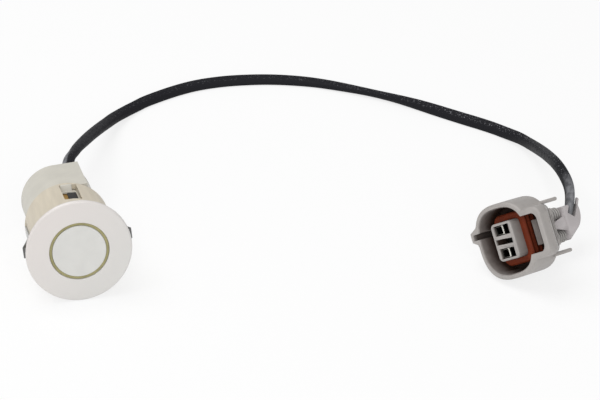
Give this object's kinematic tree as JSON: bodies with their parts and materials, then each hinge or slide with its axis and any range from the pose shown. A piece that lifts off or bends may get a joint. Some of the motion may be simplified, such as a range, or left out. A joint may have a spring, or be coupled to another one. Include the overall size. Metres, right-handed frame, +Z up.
{
  "type": "parking sensor",
  "caption": "Ultrasonic parking sensor: round painted face in a flanged clip-in retainer, stepped case, short black cable and a sealed grey connector.",
  "frame": {"origin": "middle of the sensor head's footprint, on the table that it lies on", "axes": "+Z up, +Y along the head from the round face towards the cable, +X to the right seen from the face"},
  "size_m": [0.1548, 0.1484, 0.0278],
  "materials": {
    "painted_flange": "pearl white paint",
    "case_plastic": "satin off-white moulding",
    "pad_foam": "matt black",
    "soft_ring": "matt olive",
    "painted_cup": "satin white paint",
    "piezo_ceramic": "silvered ceramic",
    "absorber": "open foam",
    "filler": "cast silicone",
    "red_insulation": "satin",
    "black_insulation": "satin",
    "white_insulation": "satin",
    "board": "green solder mask",
    "ferrite": "matt grey",
    "winding": "lacquered copper wire",
    "chip": "matt moulding",
    "capacitor_can": "bright can",
    "capacitor_chip": "tan ceramic",
    "compound": "glossy black resin",
    "grommet": "grey rubber",
    "spring_steel": "dark treated sheet",
    "cable_jacket": "satin black jacket",
    "connector_plastic": "grey moulding",
    "seal_rubber": "red-brown silicone",
    "tin_plate": "tin-plated strip",
    "lock_plastic": "black moulding",
    "wire_seal": "grey silicone",
    "cover_plastic": "pale grey moulding"
  },
  "bodies": {
    "root": {"bezel_retainer": "painted_flange", "sensor_case": "case_plastic", "rattle_pad": "pad_foam", "isolator_ring": "soft_ring", "transducer_cup": "painted_cup", "piezo_disc": "piezo_ceramic", "absorber_pad": "absorber", "cup_filler": "filler", "lead_wire_a": "red_insulation", "lead_wire_b": "black_insulation", "circuit_board": "board", "transformer_core": "ferrite", "transformer_winding": "winding", "driver_chip": "chip", "storage_capacitor": "capacitor_can", "ceramic_capacitor": "capacitor_chip", "core_wire_a": "red_insulation", "core_wire_b": "white_insulation", "potting": "compound", "cable_grommet": "grommet", "spring_clip_left": "spring_steel", "spring_clip_right": "spring_steel", "cable": "cable_jacket", "connector_housing": "connector_plastic", "connector_seal": "seal_rubber", "terminal_upper": "tin_plate", "terminal_lower": "tin_plate", "terminal_lock": "lock_plastic", "wire_seal_upper": "wire_seal", "wire_seal_lower": "wire_seal", "plug_wire_upper": "red_insulation", "plug_wire_lower": "white_insulation", "rear_cover": "cover_plastic"}
  },
  "joints": []
}
